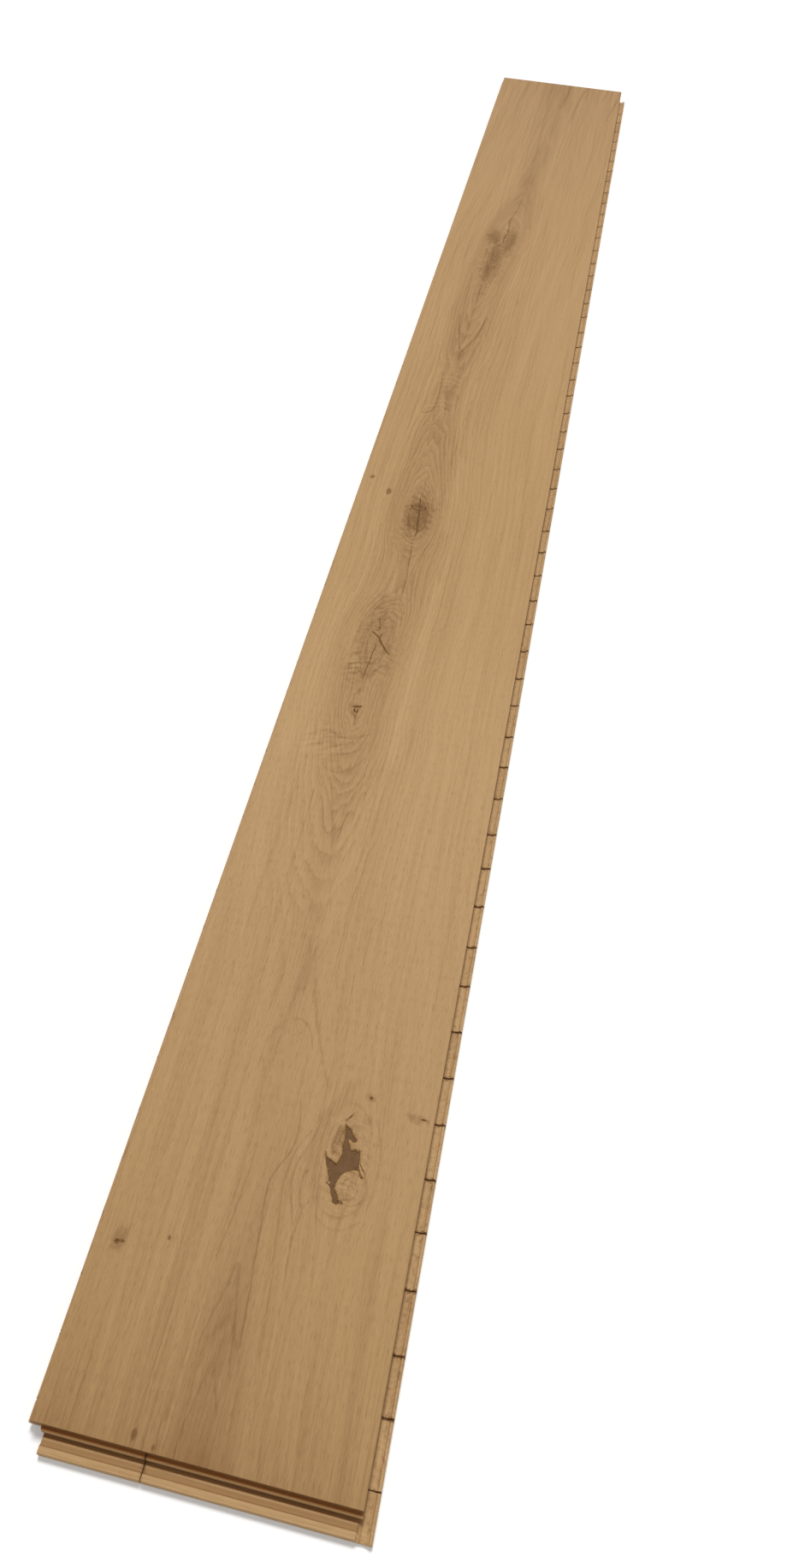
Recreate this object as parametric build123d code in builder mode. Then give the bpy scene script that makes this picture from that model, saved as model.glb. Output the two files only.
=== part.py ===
"""Three-layer oak floorboard with a locking joint on all four edges.

The board lies face up. X runs across it, Y along it and Z up, in millimetres. The origin is on
the underside, below the middle of the oak face. The long edge at +X has a groove over a lower
lip, the one at -X the tongue that fits it. The end at -Y has a ledge over a deep lip, and the
end at +Y the recess that drops over a neighbour's lip.
"""
import os
from math import sin, sqrt

from build123d import *

# Board and its three layers
face_length = 1900.0
face_width = 190.0
thickness = 14.0
oak_thickness = 3.5
backing_thickness = 2.0
arris = 0.3

# Clearances of the joint
lock_play = 0.2
lip_gap = 0.3

# Long edge: groove, dished lip and locking ridge
groove_top_depth = 5.2
groove_depth = 2.1
tongue_chamfer = 0.5
dish_radius = 5.5
dish_centre = 2.0
dish_width = 5.2
lip_web = 2.8
ridge_height = 2.0
ridge_flank = 0.7
ridge_flat = 0.9
ridge_bevel = 0.9

# Front end: ledge, dished lip and broad ridge
ledge_top_depth = 4.6
ledge_thickness = 2.3
ledge_reach = 3.0
ledge_nose = 0.6
ledge_setback = 6.3
ledge_end_radius = 2.0
end_dish_width = 8.2
end_dish_edge = 5.2
end_dish_sag = 0.5
end_ridge_height = 1.3
end_ridge_flank = 0.8
end_ridge_flat = 3.3
end_ridge_bevel = 0.6

# Core slats
front_slat_width = 11.0
back_slat_width = 24.0
slat_pitch = 33.9
seam_gap = 0.5
seam_gap_spread = 0.25
seam_wander = 1.1
butt_joint_offset = 67.5

# Levels and edges that follow from the sizes above
left_edge = -face_width / 2
right_edge = face_width / 2
front_edge = -face_length / 2
back_edge = face_length / 2
core_top = thickness - oak_thickness
core_bottom = backing_thickness
groove_top = thickness - groove_top_depth
tongue_top = groove_top - lock_play
tongue_reach = groove_depth - lock_play
ridge_inner = dish_width + ridge_flank
ridge_top = lip_web + ridge_height
lip_reach = ridge_inner + ridge_flat + ridge_bevel
recess_reach = lip_reach + lip_gap
ledge_top = thickness - ledge_top_depth
ledge_bottom = ledge_top - ledge_thickness
end_ridge_inner = end_dish_width + end_ridge_flank
end_ridge_top = end_dish_edge + end_ridge_height
end_lip_reach = end_ridge_inner + end_ridge_flat + end_ridge_bevel
end_recess_reach = end_lip_reach + lip_gap


def dish_height(reach, radius):
    """Height of the round dish, or of the belly that lies in it, at a distance from the edge."""
    return lip_web + dish_radius - sqrt(radius**2 - (reach - dish_centre) ** 2)


def core_section(y):
    """Outline of the core across the board, on a plane across its length."""
    belly_radius = dish_radius - lock_play
    with BuildSketch(Plane.XZ.offset(-y)) as section:
        with BuildLine():
            # Groove under the face, down to the inner end of the dish
            groove = Polyline(
                (left_edge, core_top),
                (right_edge, core_top),
                (right_edge, groove_top),
                (right_edge - groove_depth, groove_top),
                (right_edge - groove_depth, dish_height(-groove_depth, dish_radius)),
            )
            dish = ThreePointArc(
                groove @ 1,
                (right_edge + dish_centre, lip_web),
                (right_edge + dish_width, dish_height(dish_width, dish_radius)),
            )
            # Locking ridge, core's underside and the recess for the next board's lip
            ridge = Polyline(
                dish @ 1,
                (right_edge + ridge_inner, ridge_top),
                (right_edge + ridge_inner + ridge_flat, ridge_top),
                (right_edge + lip_reach, ridge_top - ridge_bevel),
                (right_edge + lip_reach, core_bottom),
                (left_edge + recess_reach, core_bottom),
                (left_edge + recess_reach, ridge_top + lock_play),
                (left_edge + ridge_inner - lock_play, ridge_top + lock_play),
                (left_edge + dish_width - lock_play, dish_height(dish_width - lock_play, belly_radius)),
            )
            belly = ThreePointArc(
                ridge @ 1,
                (left_edge + dish_centre, lip_web + lock_play),
                (left_edge - tongue_reach, dish_height(-tongue_reach, belly_radius)),
            )
            # Tongue
            Polyline(
                belly @ 1,
                (left_edge - tongue_reach, tongue_top - tongue_chamfer),
                (left_edge - tongue_reach + tongue_chamfer, tongue_top),
                (left_edge, tongue_top),
                (left_edge, core_top),
            )
        make_face()
    return section.sketch


def front_profile(x):
    """Outline of the front end slat along the board: ledge above, dished lip and ridge below."""
    with BuildSketch(Plane.YZ.offset(x)) as profile:
        with BuildLine():
            ledge = Polyline(
                (front_edge + front_slat_width, core_bottom),
                (front_edge + front_slat_width, core_top),
                (front_edge, core_top),
                (front_edge, ledge_top),
                (front_edge - ledge_reach + ledge_nose, ledge_top),
            )
            upper_nose = RadiusArc(
                ledge @ 1, (front_edge - ledge_reach, ledge_top - ledge_nose), -ledge_nose
            )
            nose = Line(upper_nose @ 1, (front_edge - ledge_reach, ledge_bottom + ledge_nose))
            lower_nose = RadiusArc(
                nose @ 1, (front_edge - ledge_reach + ledge_nose, ledge_bottom), -ledge_nose
            )
            wall = Polyline(
                lower_nose @ 1, (front_edge, ledge_bottom), (front_edge, end_dish_edge)
            )
            dish = ThreePointArc(
                wall @ 1,
                (front_edge - end_dish_width / 2, end_dish_edge - end_dish_sag),
                (front_edge - end_dish_width, end_dish_edge),
            )
            Polyline(
                dish @ 1,
                (front_edge - end_ridge_inner, end_ridge_top),
                (front_edge - end_ridge_inner - end_ridge_flat, end_ridge_top),
                (front_edge - end_lip_reach, end_ridge_top - end_ridge_bevel),
                (front_edge - end_lip_reach, core_bottom),
                (front_edge + front_slat_width, core_bottom),
            )
        make_face()
    return profile.sketch


def back_cutter(x):
    """Outline of what is milled off the back end: ledge groove above, lip recess below."""
    past_end = back_edge + end_lip_reach
    dish_end = end_dish_width - lock_play
    pocket_start = end_ridge_inner - lock_play
    roof = end_dish_edge + lock_play
    with BuildSketch(Plane.YZ.offset(x)) as cutter:
        with BuildLine():
            dish = ThreePointArc(
                (back_edge, roof),
                (back_edge - dish_end / 2, roof - end_dish_sag),
                (back_edge - dish_end, roof),
            )
            Polyline(
                dish @ 1,
                (back_edge - pocket_start, end_ridge_top + lock_play),
                (back_edge - end_recess_reach, end_ridge_top + lock_play),
                (back_edge - end_recess_reach, 0),
                (past_end, 0),
                (past_end, roof),
                dish @ 0,
            )
        make_face()
        with BuildLine():
            Polyline(
                (past_end, ledge_top + lock_play),
                (back_edge - ledge_reach - lip_gap, ledge_top + lock_play),
                (back_edge - ledge_reach - lip_gap, ledge_bottom - lock_play),
                (past_end, ledge_bottom - lock_play),
                close=True,
            )
        make_face()
    return cutter.sketch


def seam_places():
    """Distance along the board and width of each seam between the slats, as sawn wood varies."""
    span = face_length - front_slat_width - back_slat_width
    count = round(span / slat_pitch)
    places = []
    for i in range(count + 1):
        wander = seam_wander * sin(2.3 * i) if 0 < i < count else 0
        gap = seam_gap + seam_gap_spread * sin(1.7 * i + 0.8)
        places.append((front_edge + front_slat_width + span * i / count + wander, gap))
    return places


seams = seam_places()
first_seam, first_gap = seams[0]
last_seam, last_gap = seams[-1]
section_width = tongue_reach + face_width + lip_reach
section_middle = (lip_reach - tongue_reach) / 2

# Oak face: one sawn lamella, its arrises eased
with BuildPart() as oak_face:
    with BuildSketch(Plane.XY.offset(core_top)):
        Rectangle(face_width, face_length)
    extrude(amount=oak_thickness)
    chamfer(oak_face.faces().sort_by(Axis.Z)[-1].edges(), arris)

# Core slats: laid crosswise, their ends milled to the tongue and to the lip
with BuildPart() as core_slats:
    extrude(core_section(first_seam), amount=-(last_seam - first_seam))
    with BuildSketch(Plane.XY):
        for place, gap in seams:
            with Locations((section_middle, place)):
                Rectangle(section_width, gap)
    extrude(amount=thickness, mode=Mode.SUBTRACT)


def front_slat(x_low, x_high):
    """One length of the front end slat, from x_low to x_high."""
    ledge_end = left_edge + ledge_setback
    with BuildPart() as slat:
        extrude(front_profile(x_low), amount=x_high - x_low)
        extrude(
            core_section(front_edge - end_lip_reach),
            amount=-(end_lip_reach + front_slat_width - first_gap / 2),
            mode=Mode.INTERSECT,
        )
        # Corner at the tongue edge, where the next row's lip passes
        with BuildSketch(Plane.XY):
            with Locations((left_edge + recess_reach, front_edge)):
                Rectangle(
                    recess_reach + tongue_reach, end_lip_reach, align=(Align.MAX, Align.MAX)
                )
        extrude(amount=ledge_bottom, mode=Mode.SUBTRACT)
        # Rounded end of the ledge
        with BuildSketch(Plane.XY.offset(ledge_bottom)):
            with BuildLine():
                run = Polyline(
                    (left_edge - tongue_reach, front_edge),
                    (ledge_end, front_edge),
                    (ledge_end, front_edge - ledge_reach + ledge_end_radius),
                )
                turn = RadiusArc(
                    run @ 1,
                    (ledge_end + ledge_end_radius, front_edge - ledge_reach),
                    -ledge_end_radius,
                )
                Polyline(
                    turn @ 1,
                    (ledge_end + ledge_end_radius, front_edge - end_lip_reach),
                    (left_edge - tongue_reach, front_edge - end_lip_reach),
                    run @ 0,
                )
            make_face()
        extrude(amount=ledge_thickness, mode=Mode.SUBTRACT)
    return slat.part


# Front end slat: two lengths, butted with a gap
butt_joint = left_edge + butt_joint_offset
end_slat_front_left = front_slat(left_edge - tongue_reach, butt_joint - seam_gap / 2)
end_slat_front_right = front_slat(butt_joint + seam_gap / 2, right_edge + lip_reach)

# Back end slat: milled out to drop over the next board's end lip
with BuildPart() as end_slat_back:
    extrude(core_section(last_seam + last_gap / 2), amount=-(back_edge - last_seam - last_gap / 2))
    extrude(
        back_cutter(left_edge - tongue_reach), amount=section_width, mode=Mode.SUBTRACT
    )

# Backing: a thin sheet that ties the slats and reaches under both lips
with BuildPart() as backing_veneer:
    with BuildSketch(Plane.XY):
        with Locations((left_edge + recess_reach, front_edge - end_lip_reach)):
            Rectangle(
                face_width - recess_reach + lip_reach,
                face_length + end_lip_reach - end_recess_reach,
                align=(Align.MIN, Align.MIN),
            )
    extrude(amount=backing_thickness)

pieces = {
    "oak_face": oak_face.part,
    "core_slats": core_slats.part,
    "end_slat_front_left": end_slat_front_left,
    "end_slat_front_right": end_slat_front_right,
    "end_slat_back": end_slat_back.part,
    "backing_veneer": backing_veneer.part,
}
os.makedirs("parts", exist_ok=True)
for name, piece in pieces.items():
    piece.label = name
    export_step(piece, f"parts/{name}.step")
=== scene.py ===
from math import pi, radians

import bmesh
import bpy
import numpy as np
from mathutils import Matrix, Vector, noise
from mathutils.geometry import delaunay_2d_cdt


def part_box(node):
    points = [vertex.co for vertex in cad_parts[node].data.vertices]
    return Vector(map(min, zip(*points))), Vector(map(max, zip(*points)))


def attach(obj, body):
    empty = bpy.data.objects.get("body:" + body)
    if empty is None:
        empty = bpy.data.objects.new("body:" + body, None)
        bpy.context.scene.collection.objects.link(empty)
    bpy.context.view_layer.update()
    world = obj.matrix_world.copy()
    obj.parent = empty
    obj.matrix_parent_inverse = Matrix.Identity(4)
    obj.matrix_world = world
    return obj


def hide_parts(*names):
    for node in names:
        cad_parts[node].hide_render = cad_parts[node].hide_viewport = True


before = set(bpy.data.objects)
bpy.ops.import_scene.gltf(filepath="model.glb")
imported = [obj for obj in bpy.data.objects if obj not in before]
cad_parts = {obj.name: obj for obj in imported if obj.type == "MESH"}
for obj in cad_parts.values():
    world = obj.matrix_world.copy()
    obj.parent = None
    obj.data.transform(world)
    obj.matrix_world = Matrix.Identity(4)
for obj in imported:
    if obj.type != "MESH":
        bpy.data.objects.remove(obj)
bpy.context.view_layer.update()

# Backing veneer: a sheet peeled from a softwood log and glued under the slats, grain along the
# board, so that the board stays flat. Peeling gives broad flame figures and fine knife checks.
veneer_pale = (205, 171, 126)
veneer_dark = (171, 131, 88)
knife_check_brown = (112, 80, 50)
veneer_relief = 0.00012
flame_rings = 14

# Millimetres to a metre, and in millimetres the size of the face and of the marks in the veneer,
# across and along its grain
mm = 1000
face_low, face_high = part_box("oak_face")
face_width = (face_high.x - face_low.x) * mm
face_length = (face_high.y - face_low.y) * mm
oak_thickness = (face_high.z - face_low.z) * mm
veneer_flames = (34, 520)
veneer_fibres = (0.4, 24)
knife_checks = (0.5, 7)


def tone(red, green, blue):
    """A colour as a screen shows it, 0 to 255, turned into the light values that a shader takes."""
    plain = [((part / 255 + 0.055) / 1.055) ** 2.4 for part in (red, green, blue)]
    return (*plain, 1.0)


def add(tree, kind, inputs=None, **options):
    """Adds a shader node, fills its inputs with numbers or links, and gives back its outputs."""
    made = tree.nodes.new("ShaderNode" + kind)
    for option, value in options.items():
        setattr(made, option, value)
    for socket, value in (inputs or {}).items():
        if isinstance(value, bpy.types.NodeSocket):
            tree.links.new(value, made.inputs[socket])
        else:
            made.inputs[socket].default_value = value
    return made.outputs


def sums(tree, operation, *values):
    """One step of arithmetic on values that change over the surface."""
    return add(tree, "Math", dict(enumerate(values)), operation=operation)[0]


def plus(tree, first, second):
    """Two values added up."""
    return sums(tree, "ADD", first, second)


def minus(tree, first, second):
    """The second value taken from the first."""
    return sums(tree, "SUBTRACT", first, second)


def times(tree, first, second):
    """Two values multiplied."""
    return sums(tree, "MULTIPLY", first, second)


def away(tree, value, place):
    """How far a value is from a place, to either side."""
    return sums(tree, "ABSOLUTE", minus(tree, value, place))


def fade(tree, value, start, end, low=0.0, high=1.0):
    """Goes smoothly from low to high while the value goes from start to end."""
    limits = {"From Min": start, "From Max": end, "To Min": low, "To Max": high}
    return add(tree, "MapRange", {"Value": value, **limits}, interpolation_type="SMOOTHSTEP")[0]


def swing(tree, value, amount):
    """A 0 to 1 pattern turned into a swing about zero."""
    return times(tree, minus(tree, value, 0.5), amount)


def mix(tree, factor, first, second, kind="MIX"):
    """Two colours mixed by a factor."""
    inputs = {0: factor, 6: first, 7: second}
    return add(tree, "Mix", inputs, data_type="RGBA", blend_type=kind)[2]


def ramp(tree, value, stops):
    """A colour for each value, from (value, colour) stops."""
    made = tree.nodes.new("ShaderNodeValToRGB")
    tree.links.new(value, made.inputs[0])
    colours = made.color_ramp.elements
    colours[0].position, colours[0].color = stops[0]
    colours[1].position, colours[1].color = stops[-1]
    for position, colour in stops[1:-1]:
        colours.new(position).color = colour
    return made.outputs[0]


def group(name, inputs, outputs):
    """A new shader group with named sockets: gives the group, its inputs and its outputs."""
    tree = bpy.data.node_groups.new(name, "ShaderNodeTree")
    for socket, kind in inputs.items():
        tree.interface.new_socket(socket, in_out="INPUT", socket_type="NodeSocket" + kind)
    for socket, kind in outputs.items():
        tree.interface.new_socket(socket, in_out="OUTPUT", socket_type="NodeSocket" + kind)
    given = tree.nodes.new("NodeGroupInput").outputs
    result = tree.nodes.new("NodeGroupOutput").inputs
    return tree, given, result


def use(tree, shared, inputs):
    """Places a shared group in a tree, with this place's own values."""
    return add(tree, "Group", inputs, node_tree=shared)


def board_place(tree):
    """Millimetres from the face's front left corner, with the depth below the face as Z."""
    place = add(tree, "TexCoord")["Object"]
    corner = (-face_low.x * mm, -face_low.y * mm, face_high.z * mm)
    return add(tree, "Mapping", {"Vector": place, "Location": corner, "Scale": (mm, mm, -mm)})[0]


def new_material(name, roughness, gloss=0.12):
    """A material with one Principled shader: gives the material, its tree and the shader."""
    material = bpy.data.materials.new(name)
    material.use_nodes = True
    shader = material.node_tree.nodes["Principled BSDF"]
    shader.inputs["Roughness"].default_value = roughness
    shader.inputs["Specular IOR Level"].default_value = gloss
    return material, material.node_tree, shader


def finish_surface(tree, shader, colour, height, depth, roughness=None):
    """Feeds a shader its colour, its fine relief in metres and, if it varies, its roughness."""
    tree.links.new(colour, shader.inputs["Base Color"])
    relief = add(tree, "Bump", {"Height": height, "Distance": depth, "Strength": 1.0})[0]
    tree.links.new(relief, shader.inputs["Normal"])
    if roughness:
        tree.links.new(roughness, shader.inputs["Roughness"])


# Streaks that run along the grain: a soft pattern with its own width and length in millimetres
streak_sockets = dict.fromkeys(("Across", "Along", "Depth", "Width", "Length"), "Float")
wood_streaks, given, result = group("Wood Streaks", streak_sockets, {"Value": "Float"})
tree = wood_streaks
scaled_place = {
    "X": sums(tree, "DIVIDE", given["Across"], given["Width"]),
    "Y": sums(tree, "DIVIDE", given["Along"], given["Length"]),
    "Z": sums(tree, "DIVIDE", given["Depth"], given["Width"]),
}
streak_place = add(tree, "CombineXYZ", scaled_place)[0]
streak_noise = add(tree, "TexNoise", {"Vector": streak_place, "Scale": 1.0, "Detail": 2.0})[0]
tree.links.new(streak_noise, result["Value"])


def streaks(tree, across, along, depth, width, length):
    """Wood Streaks at a width and length in millimetres."""
    sizes = {"Width": width, "Length": length}
    return use(tree, wood_streaks, {"Across": across, "Along": along, "Depth": depth, **sizes})[0]


def name_material(node, material):
    """Gives a CAD node its finish, in the material slots that it has."""
    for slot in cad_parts[node].material_slots:
        slot.material = material


veneer, tree, shader = new_material("peeled_softwood_veneer", 0.78)
x, y, depth = add(tree, "SeparateXYZ", {0: board_place(tree)})
flame = streaks(tree, x, y, depth, *veneer_flames)
flame_lines = sums(tree, "PINGPONG", times(tree, flame, flame_rings), 1)
fibre = streaks(tree, x, y, depth, *veneer_fibres)
checked = fade(tree, streaks(tree, x, y, depth, *knife_checks), 0.64, 0.74)
shade = sums(tree, "MULTIPLY_ADD", flame_lines, 0.5, swing(tree, fibre, 0.7))
colour = ramp(tree, shade, [(0.0, tone(*veneer_pale)), (0.75, tone(*veneer_dark))])
colour = mix(tree, times(tree, checked, 0.55), colour, tone(*knife_check_brown))
height = minus(tree, fibre, times(tree, checked, 0.8))
finish_surface(tree, shader, colour, height, veneer_relief)
name_material("backing_veneer", veneer)

# Core slats: softwood sawn into battens, laid across the board with small gaps between them and
# planed together. The joint cutters leave their ends as the long groove, lip and tongue.
softwood_pale = (196, 161, 116)
softwood_dark = (158, 118, 74)
# Brown of torn fibres and dirt, also used for painted shade in the groove's corner
torn_dirt_and_shade_brown = (122, 86, 50)
slat_gap_dirt = (98, 64, 32)
glue_brown = (120, 88, 56)
slat_relief = 0.00015

# Layout of the slats, their growth rings, and marks across and along the grain, in millimetres
slat_count = 55
first_seam = 11
last_seam_from_back = 24
slat_pitch = (face_length - first_seam - last_seam_from_back) / slat_count
slat_wander = 1.1
ring_width = 2.4
ring_bows = (30, 170)
bow_height = 9
heart_spread = 90
nearest_heart = 16
heart_depth_spread = 45
slat_fibres = (0.45, 12)
slat_bands = (5, 60)
cutter_marks = (0.45, 30)
torn_spots = (1.6, 2.2)
grimy_spots = (4.0, 3.0)

# Edges of the cut ends, seams, corners with painted shade and smears, each from and to, in
# millimetres
cut_end_edge = (-0.5, 0.0)
seam_gap = (0.35, 0.75)
groove_corner_shade = (1.1, 0.4)
hollow_end = (0.0, -1.5)
smear_on_lip = (-10.5, -7.5)

# Growth rings of a sawn batten, from the place of the log's heart beside it
ring_sockets = ("Across", "Along", "Depth", "Heart Across", "Heart Depth", "Ring Width")
softwood_rings, given, result = group(
    "Softwood Rings", dict.fromkeys(ring_sockets, "Float"), {"Latewood": "Float"}
)
tree = softwood_rings
side = minus(tree, given["Across"], given["Heart Across"])
rise = minus(tree, given["Depth"], given["Heart Depth"])
rise_square = times(tree, rise, rise)
radius = sums(tree, "SQRT", sums(tree, "MULTIPLY_ADD", side, side, rise_square))
bow = swing(tree, streaks(tree, side, given["Along"], rise, *ring_bows), bow_height)
turns = sums(tree, "DIVIDE", plus(tree, radius, bow), given["Ring Width"])
phase = sums(tree, "FRACT", turns)
growth = fade(tree, phase, 0.25, 0.9)
rest = fade(tree, phase, 1.0, 0.93)
tree.links.new(times(tree, growth, rest), result["Latewood"])

# Number of the slat at a place along the board, and how far the nearest seam is
slat_sockets = dict.fromkeys(("Along", "First Seam", "Pitch", "Wander"), "Float")
slat_results = {"Number": "Float", "Seam Distance": "Float"}
slat_number, given, result = group("Slat Number", slat_sockets, slat_results)
tree = slat_number
seams = minus(tree, given["Along"], given["First Seam"])
nearest = sums(tree, "ROUND", sums(tree, "DIVIDE", seams, given["Pitch"]))
wandering = sums(tree, "SINE", times(tree, nearest, 2.3))
wandering = times(tree, wandering, given["Wander"])
seam = sums(tree, "MULTIPLY_ADD", nearest, given["Pitch"], wandering)
past = minus(tree, seams, seam)
beyond = sums(tree, "GREATER_THAN", past, 0)
tree.links.new(plus(tree, nearest, beyond), result["Number"])
tree.links.new(sums(tree, "ABSOLUTE", past), result["Seam Distance"])


def softwood(name, offset, seam_dirt, tan=0.0, ring_mark=0.5, hollows=(), butt=None):
    """Planed softwood for slats that lie across the board; offset gives each node its own log.

    seam_dirt is the strength of the dirt beside the seams, tan darkens the wood and ring_mark is
    how strongly its rings show. hollows are strips of painted shade along milled corners: where
    each starts and ends along the board, its colour and its strength. butt is the place across the
    board of a joint between two lengths.
    """
    material, tree, shader = new_material(name, 0.72)
    x, y, depth = add(tree, "SeparateXYZ", {0: board_place(tree)})
    slats = {"First Seam": first_seam, "Pitch": slat_pitch, "Wander": slat_wander}
    number, seam_distance = use(tree, slat_number, {"Along": y, **slats})
    own_number = plus(tree, number, offset)
    own = add(tree, "TexWhiteNoise", {"W": own_number}, noise_dimensions="1D")
    luck = add(tree, "SeparateColor", {0: own["Color"]})
    middle = sums(tree, "MULTIPLY_ADD", number, slat_pitch, first_seam - slat_pitch / 2)
    heart_along = plus(tree, middle, swing(tree, luck["Red"], heart_spread))
    heart_depth = sums(tree, "MULTIPLY_ADD", luck["Green"], heart_depth_spread, nearest_heart)
    ring_places = {
        "Across": y,
        "Along": x,
        "Depth": depth,
        "Heart Across": heart_along,
        "Heart Depth": heart_depth,
        "Ring Width": ring_width,
    }
    rings = use(tree, softwood_rings, ring_places)[0]
    past_side = minus(tree, away(tree, x, face_width / 2), face_width / 2)
    cut_end = fade(tree, past_side, *cut_end_edge)
    fibre = streaks(tree, y, x, depth, *slat_fibres)
    broad = streaks(tree, y, x, depth, *slat_bands)
    cutter = streaks(tree, past_side, y, depth, *cutter_marks)
    ring_shade = sums(tree, "MULTIPLY_ADD", cut_end, -0.65 * ring_mark, ring_mark)
    shade = sums(tree, "MULTIPLY_ADD", rings, ring_shade, tan)
    shade = plus(tree, shade, swing(tree, fibre, 0.8))
    shade = plus(tree, shade, swing(tree, broad, 0.5))
    shade = plus(tree, shade, times(tree, swing(tree, cutter, 1.5), cut_end))
    shade = plus(tree, shade, swing(tree, luck["Blue"], 0.4))
    colour = ramp(tree, shade, [(0.0, tone(*softwood_pale)), (1.0, tone(*softwood_dark))])
    torn = streaks(tree, y, x, depth, *torn_spots)
    grime = fade(tree, streaks(tree, y, x, depth, *grimy_spots), 0.5, 0.8)
    grime = times(tree, grime, times(tree, cut_end, 0.5))
    colour = mix(tree, grime, colour, tone(*torn_dirt_and_shade_brown))
    reach = sums(tree, "MULTIPLY_ADD", torn, 6.5, -1.8)
    dirt = fade(tree, seam_distance, times(tree, reach, 0.5), reach, seam_dirt, 0)
    colour = mix(tree, dirt, colour, tone(*torn_dirt_and_shade_brown))
    dirt = fade(tree, seam_distance, *seam_gap, seam_dirt, 0)
    colour = mix(tree, dirt, colour, tone(*slat_gap_dirt))
    # Painted shade in the corner of the groove, beside the face's edge
    corner = times(tree, cut_end, fade(tree, past_side, *groove_corner_shade, 0, 0.3))
    colour = mix(tree, corner, colour, tone(*torn_dirt_and_shade_brown))
    # Painted shade in strips along the milled corners, the ledge and the dish
    for start, stop, shadow, strength in hollows:
        strip = fade(tree, y, start - 0.25, start + 0.25, 0, strength)
        strip = times(tree, strip, fade(tree, y, stop + 0.35, stop - 0.35))
        strip = times(tree, strip, fade(tree, past_side, *hollow_end))
        colour = mix(tree, strip, colour, tone(*shadow))
    if butt:
        beside = away(tree, x, butt)
        smear = fade(tree, beside, 0.3, fade(tree, torn, 0.3, 0.7, 0.5, 3.0), 1, 0)
        smear = times(tree, smear, fade(tree, y, *smear_on_lip, 0.25, 0.8))
        colour = mix(tree, smear, colour, tone(*torn_dirt_and_shade_brown))
    glue = fade(tree, away(tree, depth, oak_thickness), 0.25, 0.05)
    colour = mix(tree, times(tree, glue, 0.45), colour, tone(*glue_brown))
    height = sums(tree, "MULTIPLY_ADD", rings, 0.4, fibre)
    height = sums(tree, "MULTIPLY_ADD", cutter, cut_end, height)
    finish_surface(tree, shader, colour, height, slat_relief)
    return material


name_material("core_slats", softwood("core_slat_softwood", offset=0.0, seam_dirt=0.85))

# End slats: one wider softwood batten across each end, milled after gluing into the ledge and
# lip of the front end and the recess of the back end. The front one is butted from two lengths,
# and painted shade darkens its milled corners, its ledge and the dish of its lip, which the face
# and the ledge hold out of the lamp's light.
# Colours of painted shade: a deep one for the corners under the face and under the ledge, and a
# softer one for the ledge and the lip's dish
painted_corner_shade = (160, 92, 30)
painted_dish_shade = (150, 113, 72)
butt_joint = 67.5
lip_tan = 0.4
lip_ring_mark = 0.2
# Strips of painted shade on the front end, each from and to beyond the face: the lip's dish, the
# corner under the ledge, the ledge and the corner under the face
lip_hollows = (
    (-9.0, -5.6, painted_dish_shade, 0.8),
    (-4.7, -3.6, painted_corner_shade, 0.7),
    (-3.5, -1.9, painted_dish_shade, 0.85),
    (-1.9, 0.0, painted_corner_shade, 0.8),
)
for end, offset in (("left", 200.5), ("right", 311.5)):
    lip_wood = softwood(
        "end_slat_softwood_" + end, offset, 0.0, lip_tan, lip_ring_mark, lip_hollows, butt_joint
    )
    name_material("end_slat_front_" + end, lip_wood)
back_wood = softwood("end_slat_softwood_back", offset=422.5, seam_dirt=0.0)
name_material("end_slat_back", back_wood)

# Oak face: a sawn lamella with the arris planed off, brushed and oiled. Its knots keep their
# cracks, and the open knot is filled with a dark hard putty a little below the face.
arris = 0.0003
face_tones = ((84, 54, 26), (134, 97, 56), (176, 139, 93), (197, 161, 114), (212, 180, 136))
crack_colour = (108, 74, 40)
knot_colour = (114, 80, 42)
filler_colour = (112, 80, 45)
filler_shade = (100, 70, 39)
pinhole_colour = (60, 40, 26)
end_grain_and_shade_colour = (102, 64, 30)
sawn_side_colour = (148, 108, 66)
sawn_pore_colour = (60, 36, 18)

# Depths of the cracks and the filler below the face and the width of its sloped rim, in mm
crack_depth = 0.5
filler_depth = 0.7
filler_unevenness = 0.25
rim_slope = 0.35

# Knots in millimetres from the front left corner: place, half width and length, how far they
# push the grain aside, how dark their wood is and how curly the grain round them
knots = (
    (140, 173, 14, 31, 0.85, 0.1, 0.5),
    (61.5, 543, 5, 7, 0.8, 0.25, 0.5),
    (61.5, 622, 16, 50, 0.75, 0.22, 0.35),
    (66, 802, 13, 28, 0.85, 0.5, 0.3),
    (81, 1372, 9, 38, 0.5, 0.32, 0.1),
)

# Pins, dark patches and curly grain beside the knots: place, half width and length, how dark
# and how curly
patches = (
    (13.8, 98.6, 1.7, 1.6, 0.9, 0),
    (17.2, 99.2, 1.6, 1.4, 0.9, 0),
    (15.5, 100.5, 5, 6.5, 0.3, 0),
    (44.5, 107, 0.8, 1.2, 0.8, 0),
    (58.5, 7, 1.5, 2.5, 0.6, 0),
    (70.5, 3, 0.9, 1.6, 0.6, 0),
    (146, 219, 1.2, 1.2, 0.95, 0),
    (145.5, 219, 3.5, 3, 0.2, 0),
    (182.5, 212.5, 2.4, 1, 0.9, 0),
    (179, 212.5, 6.5, 3, 0.3, 0),
    (44, 502, 17, 16, 0, 0.8),
    (48, 592, 6, 20, 0, 0.9),
    (77, 605, 6, 26, 0, 0.6),
    (65, 820, 7.5, 8, 0.5, 0),
    (9.5, 851, 2.3, 2.6, 0.7, 0),
    (30, 833, 2.8, 4.2, 0.75, 0),
    (58, 1020, 14, 60, 0, 0.4),
    (60, 1378, 9, 20, 0.4, 0),
    (66, 1312, 12, 50, 0.35, 0.15),
)

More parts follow.
